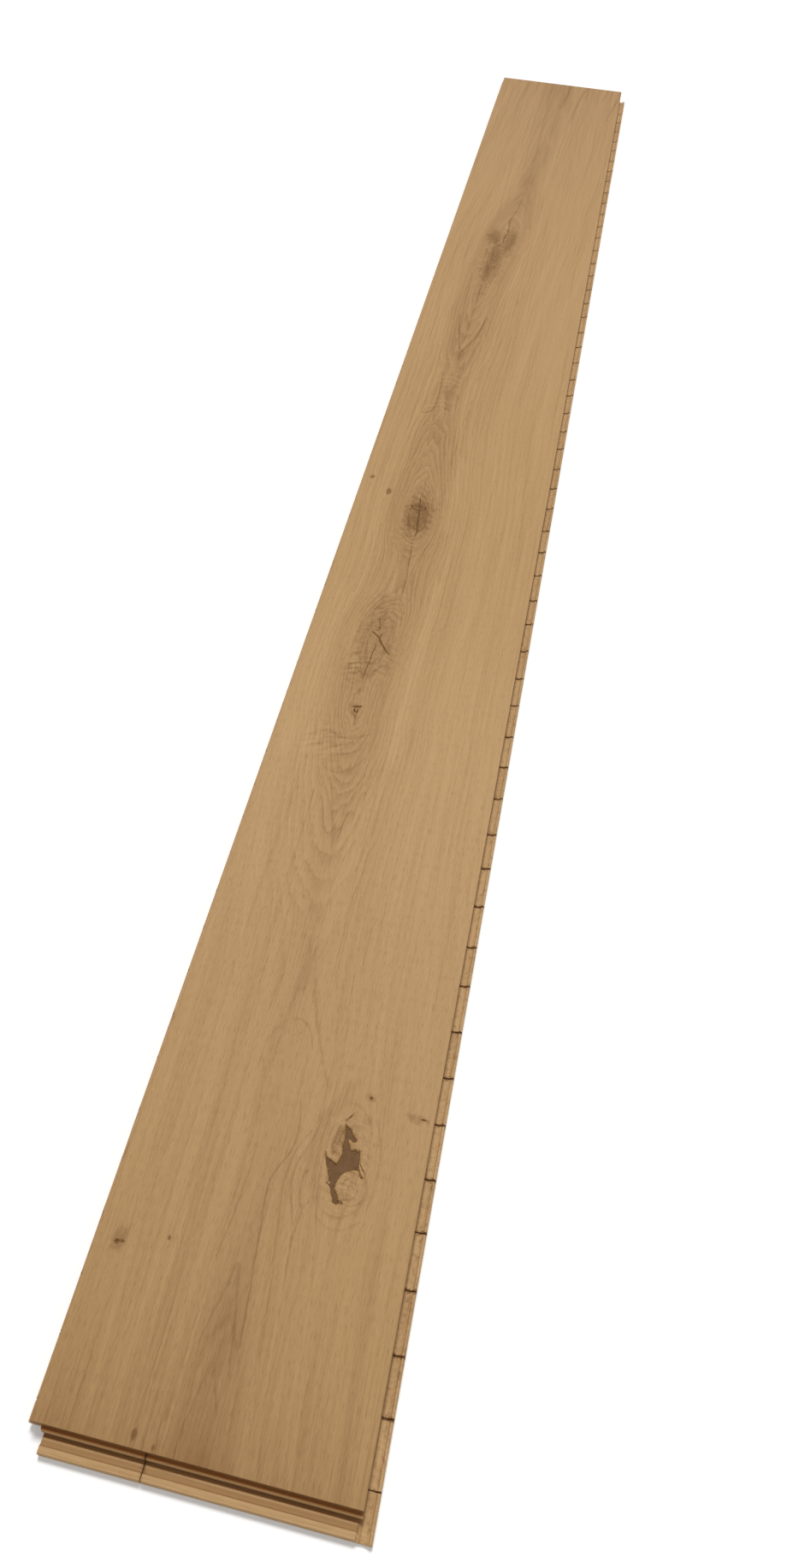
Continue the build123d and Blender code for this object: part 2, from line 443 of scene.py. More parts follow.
# Middle of the log's figure and its depth below the face, along the board, in millimetres
heart_line = (
    (0, 97), (100, 91), (250, 86), (320, 80), (400, 70), (460, 67.5), (515, 65.5), (545, 62),
    (620, 62), (700, 68), (800, 66), (900, 60), (980, 58), (1100, 60.5), (1250, 63), (1375, 73),
    (1480, 82), (1600, 92), (1750, 101), (1900, 110),
)
heart_sinks = (
    (0, 25), (50, 27), (103, 29.5), (180, 31), (240, 33), (310, 35.5), (380, 31.5), (430, 27),
    (480, 17), (515, 10), (545, 5), (580, 6), (620, 2), (670, 8), (720, 15), (760, 9), (800, 2),
    (835, 6), (870, 12), (940, 20), (1030, 26), (1100, 22), (1180, 16), (1260, 12), (1320, 8),
    (1375, 3), (1430, 12), (1480, 22), (1560, 29), (1700, 33), (1900, 37),
)
deepest_heart = 40

# Cracks in the knots: half width in millimetres, then the points that the crack runs through
cracks = (
    (1.1, ((13, 98.4), (14.8, 98.9))),
    (0.8, ((17, 99), (18.2, 99.3))),
    (0.7, ((182, 212.4), (184, 212.6))),
    (0.8, ((145.6, 219), (146.6, 219.2))),
    (0.45, ((59.4, 653), (60, 649.5), (61.3, 645.5))),
    (0.3, ((60.5, 643.2), (62.2, 641.8), (61.8, 639.9))),
    (1.25, ((56.2, 635.8), (58.5, 634.2), (61, 632), (63.8, 629.5), (66, 625), (69.5, 620),
            (73, 615), (76.2, 612.2))),
    (0.3, ((63.6, 629), (64.6, 632), (65.6, 634))),
    (0.45, ((62.6, 621), (62.5, 616.5), (61.6, 610), (61.6, 603), (61.2, 598), (60.6, 592),
            (60.4, 586), (59.9, 581), (59.9, 578))),
    (0.9, ((63.7, 829), (64.6, 824), (65.3, 818), (66.2, 812), (66.8, 806), (67.3, 800),
            (68, 794), (68.7, 787), (69.9, 780), (69.2, 773))),
    (1.1, ((57.6, 817), (58.6, 814), (61, 812.2), (64.5, 811), (68, 811.8), (71, 813.2),
            (72.2, 815.5))),
    (1.9, ((59.2, 545.4), (62, 546), (65.6, 546.9))),
    (1.1, ((60.6, 543.6), (60.6, 541), (61.4, 540), (63.2, 540), (63.7, 543))),
    (0.45, ((75.3, 1404), (74.9, 1393), (73.2, 1383), (72.5, 1373), (73.2, 1366))),
    (0.5, ((137, 205.5), (135.6, 203.6), (134, 201.5))),
    (0.35, ((148.2, 176), (150, 173.2), (152.6, 170.5))),
)

# Dark streaks in the wood, and a few strokes of painted shade on the knot's lumps: strength, half
# widths at start, middle and end, then the points. The pale ones, with a strength below zero, lie
# over the dark ones.
stains_and_shade_strokes = (
    (0.5, (0.8, 0.9, 0.4), ((57, 682), (57.4, 676), (57.6, 670), (58.2, 663))),
    (0.4, (0.8, 1, 0.6), ((52.8, 668), (52.9, 655), (53.5, 642))),
    (0.7, (0.5, 1, 0.8), ((64.6, 862), (64.5, 852), (64.9, 846), (64.4, 838), (63.7, 829))),
    (0.7, (1, 1.2, 0.7), ((69.2, 773), (68.6, 762), (69.3, 752), (70.2, 744), (70.8, 732),
                            (71.6, 722), (72.6, 714), (72.8, 700), (72.4, 690))),
    (0.35, (1, 1.3, 0.8), ((84, 765), (80.5, 740), (79.5, 715), (82, 685))),
    (0.6, (1, 1.6, 0.8), ((60.5, 537.5), (62.3, 536), (63.5, 533), (64.3, 527.5))),
    (0.3, (0.6, 0.9, 0.6), ((61, 549), (60.5, 565))),
    (0.5, (1.2, 2, 1.2), ((55.5, 558), (58, 560.5), (60.3, 567))),
    (0.6, (1.2, 1.4, 1.2), ((62, 543.5), (62.2, 540.5))),
    (0.5, (0.8, 1.5, 0.8), ((118, 204), (116.5, 190), (112, 176), (108.5, 165), (109.5, 150),
                            (114, 136), (117, 118))),
    (0.45, (0.8, 1.3, 0.8), ((121, 168), (116.5, 164.5), (114, 157), (116, 147), (120, 138))),
    (0.7, (0.6, 1.4, 1.4), ((81.6, 1492), (80.4, 1478), (79.8, 1465), (78, 1452), (76, 1442),
                            (74.8, 1432), (73.9, 1424), (74.8, 1412), (75.5, 1402))),
    (0.6, (1.6, 3.5, 2), ((75.5, 1440), (74, 1428), (73.8, 1418))),
    (0.5, (1, 2, 1), ((65, 1360), (67.5, 1354), (71, 1358))),
    (0.6, (1, 1.8, 1.6), ((47, 1180), (48.5, 1160), (52, 1140), (56, 1115), (59.5, 1102))),
    (0.8, (1.6, 3.2, 2), ((79, 1182), (76.5, 1160), (73.5, 1140), (67, 1118), (61.5, 1102))),
    (0.5, (1.6, 1.8, 0.9), ((64, 1345), (63, 1300), (62, 1270), (61.3, 1240), (61.4, 1200),
                            (60.8, 1150), (60.2, 1118))),
    (0.5, (1.6, 3, 1), ((60.5, 1104), (60.5, 1094), (61, 1082))),
    (0.7, (0.7, 1.4, 1.6), ((47, 1058), (48.5, 1040), (50.3, 1015), (50.5, 995), (49, 982),
                            (44, 975), (38.5, 974.5))),
    (0.45, (0.7, 1.1, 0.7), ((79, 1065), (76, 1020), (77.5, 985), (79.5, 955), (82.5, 920),
                             (84.5, 890))),
    (0.4, (0.7, 1.2, 0.6), ((57, 1035), (60, 1000), (62, 985), (64.5, 970))),
    (0.4, (0.8, 1.3, 0.8), ((33.5, 1015), (34, 985))),
    (0.5, (1, 2, 1), ((42, 1075), (43, 1064))),
    (0.8, (0.6, 1, 0.8), ((110.3, 1231), (110.8, 1219))),
    (0.75, (6.5, 3, 0.9), ((108.5, 1899), (107.5, 1868), (104.5, 1840), (103, 1816))),
    (0.3, (2.5, 2.2, 1.4), ((82.5, 1899), (80.5, 1860), (76.5, 1820))),
    (0.45, (3.5, 2.6, 1.8), ((136, 1899), (128, 1855), (123, 1800), (119, 1760))),
    (0.3, (1.8, 2.4, 1.2), ((119, 1762), (117, 1700), (115, 1640))),
    (0.5, (2, 1.8, 0.8), ((139.5, 1899), (136.5, 1856))),
    (0.5, (2.2, 2.2, 1.2), ((168.5, 1899), (166, 1870), (162.5, 1850))),
    (0.45, (1.8, 1.8, 1), ((175.5, 1899), (174.5, 1865), (172.5, 1848))),
    (0.55, (2.2, 1.8, 0.9), ((188.5, 1890), (187, 1862), (182, 1840), (177.5, 1808), (176, 1790))),
    (0.45, (0.8, 1, 0.8), ((124.4, 184), (124.9, 190), (127, 196), (130, 199.5), (133, 201.6))),
    # Painted shade on the right side of the left lump of knot wood, over the knot wood's own brown
    (0.75, (3, 6, 3), ((132.5, 197), (131.5, 188), (130, 179))),
    (0.5, (1, 1.4, 1), ((152.5, 169), (155.3, 163), (155.3, 156), (151.5, 151), (145, 148.8))),
    (0.45, (0.8, 1.2, 0.8), ((140, 159), (142.5, 153.6), (147.5, 153.2), (150.3, 158),
                             (148.5, 163), (145, 164))),
    # Painted shade down the middle of the same lump
    (1, (1.2, 3.2, 1.8), ((130.5, 197), (129.4, 189), (128.3, 182))),
    (0.3, (4, 7.5, 4), ((125, 202), (119, 184), (120, 164))),
    (0.35, (0.8, 1.3, 0.8), ((125, 152), (119.5, 142), (117.5, 124), (118.5, 104))),
    (0.4, (0.8, 1.4, 0.8), ((112, 188), (105.5, 172), (104, 152), (107, 128), (110.5, 104),
                             (113, 80))),
    (0.32, (0.8, 1.3, 0.8), ((123, 212), (117.5, 196), (113.5, 178), (112, 160), (114.5, 142))),
    (0.3, (0.8, 1.5, 0.8), ((128, 147), (134, 141.5), (143, 141.5), (152, 148), (157.5, 158))),
    (0.28, (0.8, 1.5, 0.8), ((127, 140), (136, 134), (146, 134.5), (156, 142))),
    (0.28, (0.8, 1.5, 0.8), ((124.5, 205), (130, 211.5), (138, 212.5), (146, 207), (152.5, 196))),
    (0.25, (0.8, 1.4, 0.8), ((158, 150), (161, 168), (159.5, 186), (154, 204), (149, 222))),
    # Painted shadow line inside the lower right lump
    (0.5, (0.7, 1, 0.7), ((143.2, 170), (142, 166), (140.4, 161.5))),
    (0.45, (1.2, 2.4, 1.4), ((58, 801), (59, 793), (61, 786), (66, 782.5), (70, 781))),
    (0.45, (1, 1.8, 1), ((71, 812), (71.4, 801))),
    (0.4, (1, 2, 1), ((73.5, 809), (74.5, 798), (76.5, 789))),
    (0.9, (2, 5, 2.5), ((57.5, 816), (64, 818), (71.5, 816))),
    (0.4, (1.2, 2.4, 1.4), ((66, 812), (67, 800), (68.5, 787))),
    (0.3, (1.2, 2.2, 1), ((30, 508), (42, 514.5), (50, 515))),
    (0.35, (1.2, 2.6, 1.2), ((46, 515), (58, 510.5), (68, 512), (79, 519))),
    (0.3, (1, 2, 1), ((40, 500), (52, 493), (64, 494), (76, 502))),
    (0.28, (0.9, 1.6, 0.9), ((47, 480), (58, 474), (68, 476), (77, 486))),
    (0.35, (1, 2.2, 1), ((57, 470), (64, 448), (69, 428), (74.5, 404), (77, 384))),
    (0.28, (0.9, 1.8, 0.9), ((82, 480), (80, 450), (77.5, 420), (76.5, 398))),
    (0.25, (0.9, 1.6, 0.9), ((51, 462), (59, 436), (66, 412), (71, 388))),
    (0.22, (6, 10, 4), ((80, 258), (79, 300), (77, 345))),
    (0.4, (0.8, 1.6, 0.8), ((67, 222), (69, 243), (76, 257), (85, 262), (94, 257), (100, 243))),
    (0.3, (0.8, 1.4, 0.8), ((77, 222), (78, 238), (84, 250), (91, 247))),
    (0.28, (1.2, 2.6, 1.4), ((83, 318), (91, 286), (98, 264), (106, 243), (116, 220))),
    (0.35, (0.8, 1.5, 0.8), ((57, 360), (62, 335), (65.5, 305), (66, 275), (65, 245))),
    (0.28, (0.8, 1.4, 0.8), ((63, 345), (66.5, 325), (68, 300))),
    (0.16, (14, 20, 12), ((72, 395), (73, 310), (78, 195))),
    (0.35, (4, 8, 4), ((131, 226), (127, 208), (117, 198))),
    (0.3, (3, 6, 3), ((119, 180), (122, 160), (128, 146))),
    (0.3, (1, 2, 1), ((45, 578), (51, 571), (59, 574))),
    (0.25, (0.9, 1.8, 1), ((50, 592), (56, 586), (66, 588), (73, 596))),
    (0.3, (5, 9, 4), ((56, 1385), (64, 1368), (70, 1350), (67, 1328), (63, 1298),
                             (61, 1268))),
    (0.28, (6, 9, 6), ((84, 1392), (84, 1366), (75, 1347))),
    (0.2, (6, 12, 8), ((62, 1105), (60, 1060), (60, 1005))),
    (0.26, (14, 28, 34), ((80, 1530), (88, 1700), (100, 1899))),
    (0.35, (0.8, 1.2, 0.8), ((61, 62), (60.5, 40), (61, 18))),
    (0.32, (0.7, 1.6, 0.9), ((79.5, 58), (81.5, 70), (86, 88), (89, 103), (92.5, 91), (96.5, 72),
                             (101, 45))),
    (0.28, (0.7, 1.6, 0.9), ((84.5, 20), (87, 36), (90.5, 49), (95, 38), (100, 25))),
    (0.16, (3, 7, 4), ((90, 84), (91.5, 64), (92.5, 44))),
    (0.35, (0.7, 1.1, 0.7), ((78, 205), (80.5, 170), (79.5, 140), (75.5, 104))),
    (0.5, (0.7, 1.2, 0.7), ((101, 208), (104.8, 188), (103.5, 175), (97, 160), (94.6, 148),
                             (96.5, 128), (98.5, 108), (103, 60))),
    (0.6, (0.8, 0.9, 0.8), ((0.7, 147), (0.7, 155))),
    (0.7, (0.8, 1, 0.8), ((0.7, 239), (0.7, 246))),
    (-0.55, (1.4, 2.6, 1.2), ((72.3, 1419), (71.8, 1405), (72.6, 1391))),
    (-0.45, (1, 1.8, 1), ((77.2, 1413), (77.4, 1404))),
    (-0.5, (1, 1.8, 1), ((56.2, 641.5), (57.8, 638.2))),
    (-0.35, (0.8, 1.4, 0.8), ((55, 539.5), (55.6, 535.5))),
    (-0.35, (0.8, 1.3, 0.8), ((56.8, 564.5), (58.2, 559.5))),
    (-0.25, (5, 8, 5), ((61, 722), (62, 702), (63, 684))),
    (-0.22, (4, 7, 4), ((40, 655), (39, 622), (42, 596))),
    (-0.25, (4, 7, 4), ((101, 1410), (101, 1380), (96, 1345))),
    (-0.25, (10, 18, 12), ((102, 710), (101, 620), (100, 500))),
    (-0.2, (9, 14, 9), ((15, 690), (15, 600), (15, 490))),
    (-0.22, (7, 12, 7), ((97, 900), (95, 840), (96, 790))),
)

# Outline of the putty in the open knot, round the pieces of knot wood that stand in it
open_knot = (
    (134, 202), (134.2, 198.3), (137.8, 196.2), (139.5, 193.8), (141.8, 191.2),
    (143.4, 189.8), (142.5, 188.6), (140.8, 187.9), (139.3, 189), (137.8, 189.3),
    (138.4, 187.6), (139.9, 185.2), (140.9, 182.9), (142.2, 183.4), (143.2, 184.4),
    (145.2, 183), (146.4, 184.5), (147.1, 182.3), (147.6, 178.5), (148.2, 173.5),
    (150.2, 169.8), (152.3, 167.2), (150.2, 167.3), (149.2, 169.3), (147.8, 171.2),
    (144.8, 171.2), (143.2, 170), (141, 169.2), (138.3, 166.6), (136.8, 163.2),
    (136, 160), (136.3, 157.3), (138.8, 153.8), (139.8, 151.4), (141.5, 151.2),
    (143, 150.2), (142.3, 149.1), (140.3, 149.2), (138.4, 148.4), (136, 149.5),
    (135.6, 151.5), (134, 154), (132.9, 157), (131.4, 158.9), (129.6, 159.8),
    (130.7, 161.5), (129.8, 164.8), (128.2, 168.5), (126.7, 171.8), (125.5, 175.2),
    (124.6, 179.5), (123.9, 186.8), (125, 180.8), (126.4, 176), (129, 174.8),
    (131.5, 173.6), (133.2, 173.2), (134.4, 176.5), (135.3, 179.5), (134.4, 184.2),
    (134.9, 187.8), (134.3, 192.5), (133.5, 197.5), (133.3, 201),
)


def spaced(points, spacing, closed=False):
    """The same line as points at an even spacing, rounded between them and a little uneven."""
    corners = [Vector(point) for point in points]
    ends = (corners[-1], corners[0]) if closed else (corners[0], corners[-1])
    padded = [ends[0], *corners, ends[1]] if not closed else [ends[0], *corners, *corners[:2]]
    line = []
    for before, start, stop, after in zip(padded, padded[1:], padded[2:], padded[3:]):
        steps = max(1, round((stop - start).length / spacing))
        for step in range(steps):
            t = step / steps
            bend = 2 * start + t * (stop - before)
            bend += t**2 * (2 * before - 5 * start + 4 * stop - after)
            bend += t**3 * (3 * start - before - 3 * stop + after)
            line.append(bend / 2)
    if not closed:
        line.append(corners[-1])
    for point in line:
        point += 0.22 * Vector((noise.noise(point.to_3d() * 0.9), 0))
        point += 0.12 * Vector((noise.noise(point.to_3d() * 2.3), noise.noise(point.to_3d() * 1.7)))
    return np.array([(p.x, p.y) for p in line])


def sides(line):
    """Unit vectors square to a line, at its points."""
    along = np.gradient(line, axis=0)
    along /= np.maximum(np.linalg.norm(along, axis=1), 1e-6)[:, None]
    return np.stack([-along[:, 1], along[:, 0]], axis=1)


def band_value(points, line, widths):
    """1 on a line, falling to 0 at its half width, for each of many points."""
    value = np.zeros(len(points))
    reach = widths.max() + 1
    near = np.all((points > line.min(0) - reach) & (points < line.max(0) + reach), axis=1)
    chosen = points[near]
    best = np.zeros(len(chosen))
    for start, stop, wide, narrow in zip(line, line[1:], widths, widths[1:]):
        step = stop - start
        t = np.clip(((chosen - start) @ step) / max(step @ step, 1e-9), 0, 1)
        distance = np.linalg.norm(chosen - start - t[:, None] * step, axis=1)
        best = np.maximum(best, 1 - distance / (wide + t * (narrow - wide)))
    value[near] = np.clip(best, 0, 1)
    return value


def inside(points, outline):
    """Which points lie inside a closed outline."""
    x, y = points[:, :1], points[:, 1:]
    start, stop = outline, np.roll(outline, -1, axis=0)
    spans = (start[:, 1] > y) != (stop[:, 1] > y)
    rise = np.where(stop[:, 1] == start[:, 1], 1e-9, stop[:, 1] - start[:, 1])
    crossing = start[:, 0] + (y - start[:, 1]) * (stop[:, 0] - start[:, 0]) / rise
    return (np.sum(spans & (x < crossing), axis=1) % 2) == 1


def edge_distance(points, outline):
    """How far each point is from a closed outline."""
    best = np.full(len(points), 1e9)
    for start, stop in zip(outline, np.roll(outline, -1, axis=0)):
        step = stop - start
        t = np.clip(((points - start) @ step) / max(step @ step, 1e-9), 0, 1)
        best = np.minimum(best, np.linalg.norm(points - start - t[:, None] * step, axis=1))
    return best


def lattice(across, along):
    """Points at every crossing of two sets of lines."""
    return np.stack(np.meshgrid(across, along), -1).reshape(-1, 2)


# Points of the face: its border, a wide grid, finer ones in the knots and rows along each mark.
# Spacings are in millimetres, and bed_across and bed_along box in the open knot.
border_columns, border_rows = 64, 191
grid_columns, grid_rows = 20, 190
crack_spacing = 1.2
stain_spacing = 2.5
rim_spacing = 0.8
bed_across, bed_along, bed_spacing = (123, 154), (147, 204), 1.3
widest_spot_spacing = 2.4
spot_reach = 1.7
free_margin = 0.25
inset = arris * mm
across = np.linspace(inset, face_width - inset, border_columns)
along = np.linspace(inset, face_length - inset, border_rows)
border = [(x, inset) for x in across[:-1]]
border += [(face_width - inset, y) for y in along[:-1]]
border += [(x, face_length - inset) for x in across[:0:-1]]
border += [(inset, y) for y in along[:0:-1]]
grid_across = np.linspace(0, face_width, grid_columns)[1:-1]
grid_along = np.linspace(0, face_length, grid_rows)[1:-1]
points = [np.array(border), lattice(grid_across, grid_along)]
marks = []
for half_width, route in cracks:
    line = spaced(route, crack_spacing)
    ends = np.sin(np.linspace(0.08, 0.92, len(line)) * pi) ** 0.6
    ragged_width = 0.8 + 0.4 * np.abs(np.sin(1.9 * np.arange(len(line))))
    marks.append(("crack", 1.0, line, half_width * ends * ragged_width))
for strength, half_widths, route in stains_and_shade_strokes:
    line = spaced(route, stain_spacing)
    widths = np.interp(np.linspace(0, 2, len(line)), (0, 1, 2), half_widths)
    ragged_width = 0.85 + 0.3 * np.sin(2.1 * np.arange(len(line))) ** 2
    marks.append(("stain_and_shade", strength, line, widths * ragged_width))
for kind, strength, line, widths in marks:
    for row in (-1, -0.5, 0, 0.5, 1) if kind == "stain_and_shade" else (-1, 0, 1):
        points.append(line + row * sides(line) * widths[:, None])
rim = spaced(open_knot, rim_spacing, closed=True)
step_in = rim - rim_slope * sides(np.vstack([rim[-1:], rim, rim[:1]]))[1:-1]
bed = lattice(np.arange(*bed_across, bed_spacing), np.arange(*bed_along, bed_spacing))
bed = np.vstack([step_in, bed])
points.append(bed[inside(bed, rim) & (edge_distance(bed, rim) > rim_slope * 0.8)])
spots = [(x, y, wide, long, dark, curly) for x, y, wide, long, push, dark, curly in knots]
spots += patches
for x, y, half_width, half_length, *_ in spots:
    step = min(widest_spot_spacing, half_width / 4)
    reach_across, reach_along = spot_reach * half_width, spot_reach * half_length
    columns = np.arange(x - reach_across, x + reach_across, step)
    rows = np.arange(y - reach_along, y + reach_along, step * 1.3)
    points.append(lattice(columns, rows))
points = np.vstack([points[0], rim, *points[1:]])
edge = inset + free_margin
loose = np.arange(len(points)) >= len(border)
kept = (points[:, 0] > edge) & (points[:, 0] < face_width - edge)
kept &= (points[:, 1] > edge) & (points[:, 1] < face_length - edge)
points = points[~loose | kept]
fixed = [(i, (i + 1) % len(border)) for i in range(len(border))]
fixed += [(len(border) + i, len(border) + (i + 1) % len(rim)) for i in range(len(rim))]
cut = delaunay_2d_cdt([Vector(p) for p in points], fixed, [], 1, 1e-4)
flat = np.array([(p.x, p.y) for p in cut[0]])
triangles = cut[2]

# Height of each point below the face, and where the cracks, streaks, painted shade and putty are
crack = np.zeros(len(flat))
stain_and_shade = np.zeros(len(flat))
sunk = np.zeros(len(flat))
for kind, strength, line, widths in marks:
    value = band_value(flat, line, widths)
    if kind == "crack":
        crack = np.maximum(crack, value)
        sunk = np.maximum(sunk, value * min(crack_depth, widths.max() * 1.6))
    elif strength > 0:
        stain_and_shade = np.maximum(stain_and_shade, strength * value**2 * (3 - 2 * value))
    else:
        stain_and_shade += (strength - stain_and_shade) * value**2 * (3 - 2 * value)
in_knot = inside(flat, rim)
slope = np.clip(edge_distance(flat, rim) / rim_slope, 0, 1) * in_knot
uneven = np.array([noise.noise(Vector((x, y, 3)) * 0.22) for x, y in flat])
sunk = np.maximum(sunk, slope * (filler_depth + filler_unevenness * uneven))
brown = np.zeros(len(flat))
halo = np.zeros(len(flat))
curl = np.zeros(len(flat))
ragged = np.array([noise.noise(Vector((x, y, 9)) * 0.25) for x, y in flat])
for x, y, half_width, half_length, dark, curly in spots:
    out = np.hypot((flat[:, 0] - x) / half_width, (flat[:, 1] - y) / half_length)
    out *= 1 + 0.6 * ragged
    round_it = np.clip(spot_reach - out, 0, 1) ** 2
    brown = np.maximum(brown, dark * np.clip((1.1 - out) / 0.35, 0, 1))
    halo = np.maximum(halo, dark * round_it)
    curl = np.maximum(curl, curly * round_it)
    if dark and half_width > 4:
        ripple = 0.05 + 0.05 * np.sin(flat[:, 1] * 0.8 + flat[:, 0] * 0.5)
        sunk = np.maximum(sunk, np.clip(1.2 - out, 0, 1) * ripple * ~in_knot)

# The lamella itself: the face, its planed arris, the sawn sides and the glued underside
vertices = [
    (face_low.x + x / mm, face_low.y + y / mm, face_high.z - down / mm)
    for (x, y), down in zip(flat, sunk)
]
top_ring = [int(np.argmin(np.hypot(flat[:, 0] - x, flat[:, 1] - y))) for x, y in border]
rings = [top_ring]
side_x = {across[0]: 0, across[-1]: face_width}
side_y = {along[0]: 0, along[-1]: face_length}
for z in (face_high.z - arris, face_low.z):
    rings.append(range(len(vertices), len(vertices) + len(border)))
    for x, y in border:
        x, y = side_x.get(x, x), side_y.get(y, y)
        vertices.append((face_low.x + x / mm, face_low.y + y / mm, z))
faces = [tuple(corners) for corners in triangles]
for upper, lower in zip(rings, rings[1:]):
    for i in range(len(border)):
        after = (i + 1) % len(border)
        faces.append((upper[after], upper[i], lower[i], lower[after]))
faces.append(tuple(rings[-1]))
oak_mesh = bpy.data.meshes.new("oak_lamella")
oak_mesh.from_pydata(vertices, [], faces)
layers = {"crack": crack, "stain_and_shade": stain_and_shade, "brown": brown, "halo": halo, "curl": curl}
for name, values in layers.items():
    layer = oak_mesh.attributes.new(name, "FLOAT", "POINT")
    layer.data.foreach_set("value", np.append(values, np.zeros(2 * len(border))))
for i, corners in enumerate(triangles):
    face = oak_mesh.polygons[i]
    face.material_index = 1 if min(slope[j] for j in corners) > 0.9 else 0
    face.use_smooth = max(sunk[j] for j in corners) > 0 and max(crack[j] for j in corners) == 0
shape = bmesh.new()
shape.from_mesh(oak_mesh)
bmesh.ops.recalc_face_normals(shape, faces=shape.faces)
shape.to_mesh(oak_mesh)
shape.free()
oak = bpy.data.objects.new("oak_lamella", oak_mesh)
bpy.context.scene.collection.objects.link(oak)

# One knot: bends the grain round itself, and counts the turns outward from its middle
knot_inputs = {
    "Place": "Vector",
    "Centre": "Vector",
    "Half Width": "Float",
    "Half Length": "Float",
    "Push": "Float",
}
push_falloff = -0.55
knot_group, given, result = group("Knot", knot_inputs, {"Place": "Vector", "Turn": "Float"})
tree = knot_group
offset = add(tree, "VectorMath", {0: given["Place"], 1: given["Centre"]}, operation="SUBTRACT")[0]
dx, dy = add(tree, "SeparateXYZ", {0: offset})[:2]
reach_x = sums(tree, "DIVIDE", dx, given["Half Width"])
reach_y = sums(tree, "DIVIDE", dy, given["Half Length"])
reach = sums(tree, "MULTIPLY_ADD", reach_x, reach_x, times(tree, reach_y, reach_y))
near = sums(tree, "EXPONENT", times(tree, reach, push_falloff))
push = times(tree, times(tree, near, given["Push"]), dx)
shift = add(tree, "CombineXYZ", {"X": push})[0]
bent = add(tree, "VectorMath", {0: given["Place"], 1: shift}, operation="SUBTRACT")[0]
tree.links.new(bent, result["Place"])
tree.links.new(sums(tree, "SQRT", reach), result["Turn"])


def profile(tree, value, line, highest):
    """A smooth line through given places along the board, read at a distance from its front."""
    made = tree.nodes.new("ShaderNodeFloatCurve")
    curve = made.mapping.curves[0]
    scaled = [(y / face_length, height / highest) for y, height in line]
    curve.points[0].location = scaled[0]
    curve.points[1].location = scaled[-1]
    for point in scaled[1:-1]:
        curve.points.new(*point)
    made.mapping.update()
    tree.links.new(sums(tree, "DIVIDE", value, face_length), made.inputs["Value"])
    return times(tree, made.outputs[0], highest)


# Where along the board its look changes, each from and to, in millimetres: the flecked front end
# stops, the figure round the knots starts and stops, and so on. Only pale_side is across it.
flecked_front = (250, 450)
figure_start = (330, 440)
figure_stop = (1340, 1430)
drift_calms = (430, 560)
waves_grow = (150, 420)
rings_crowd = (290, 430)
lines_soften = (380, 480)
pale_side = (90, 150)
pale_side_stop = (1450, 1200)

# How far from the log's heart: the brown heartwood, the strong rings and the long straight lines
brown_heart = (37, 20)
strong_rings = (80, 30)
strong_lines = (60, 34)
straight_lines = (15, 40)

# Marks in the oak, across and along the grain, in millimetres
heart_drifts = (24, 190)
waves = (5, 32)
line_drifts = (9, 200)
line_breaks = (0.8, 8)
line_patches = (5, 60)
fine_pores = (0.4, 11)
long_streaks = (1.3, 240)
gleams = (0.45, 9)
curly_ripples = (4.2, 20)
knot_rings_size = (1.0, 16)
mottles = (1.5, 2.2)
sawn_specks = (0.35, 0.5)
rubbed_spots = (3, 0.6)
brush_marks = (0.6, 14)
open_pores_size = (0.4, 8)
ring_line_gap = 6.5

# How close the rings of the knots lie, how dark halos and streaks are, the relief in metres, and
# a turn that lies outside every knot
knot_ring_count = 15
mark_darkness = 0.24
oak_relief = 0.00010
far_from_knots = 9.0

oak_finish, tree, shader = new_material("brushed_oiled_oak", 0.55)
place = board_place(tree)
plain_x, plain_y, depth = add(tree, "SeparateXYZ", {0: place})
knot_turn = far_from_knots
for x, y, half_width, half_length, push, *_ in knots:
    sizes = {"Half Width": half_width, "Half Length": half_length, "Push": push}
    knot = use(tree, knot_group, {"Place": place, "Centre": (x, y, 0), **sizes})
    place = knot["Place"]
    knot_turn = sums(tree, "MINIMUM", knot_turn, knot["Turn"])
brown, halo, curl, stain_and_shade, crack = (
    add(tree, "Attribute", attribute_name=name)["Fac"]
    for name in ("brown", "halo", "curl", "stain_and_shade", "crack")
)
x, y, depth = add(tree, "SeparateXYZ", {0: place})
drift = swing(tree, streaks(tree, x, y, depth, *heart_drifts), fade(tree, y, *drift_calms, 7, 3.5))
drifted = plus(tree, x, drift)
off_heart = minus(tree, drifted, profile(tree, y, heart_line, face_width))
sink = minus(tree, profile(tree, y, heart_sinks, deepest_heart), depth)
sink_square = times(tree, sink, sink)
radius = sums(tree, "SQRT", sums(tree, "MULTIPLY_ADD", off_heart, off_heart, sink_square))
beside = times(tree, off_heart, 0.15)

# Tone of the wood, 0 dark to 1 pale: bands of growth, pores, the brown heart and the knots. The
# bands give their width, their length and how much they change the tone.
# Tone along the board: lower at both ends, and at the near end this darkening is painted shade
board_tone_with_front_shade = (
    (0, 0.345), (15, 0.38), (60, 0.43), (150, 0.47), (300, 0.505), (480, 0.565), (700, 0.545),
    (1000, 0.53), (1400, 0.525), (1750, 0.475), (1900, 0.44),
)
grain_bands = ((11, 420, 0.15), (3.2, 180, 0.13))
fibre_bands = ((1.8, 90, 0.10), (0.9, 45, 0.12), (0.5, 18, 0.07))
light = profile(tree, y, board_tone_with_front_shade, 1.0)
light = plus(tree, light, fade(tree, radius, *brown_heart, 0.02, -0.07))
paler = fade(tree, x, *pale_side)
paler = times(tree, paler, fade(tree, y, *pale_side_stop, 0, 0.03))
light = plus(tree, light, paler)
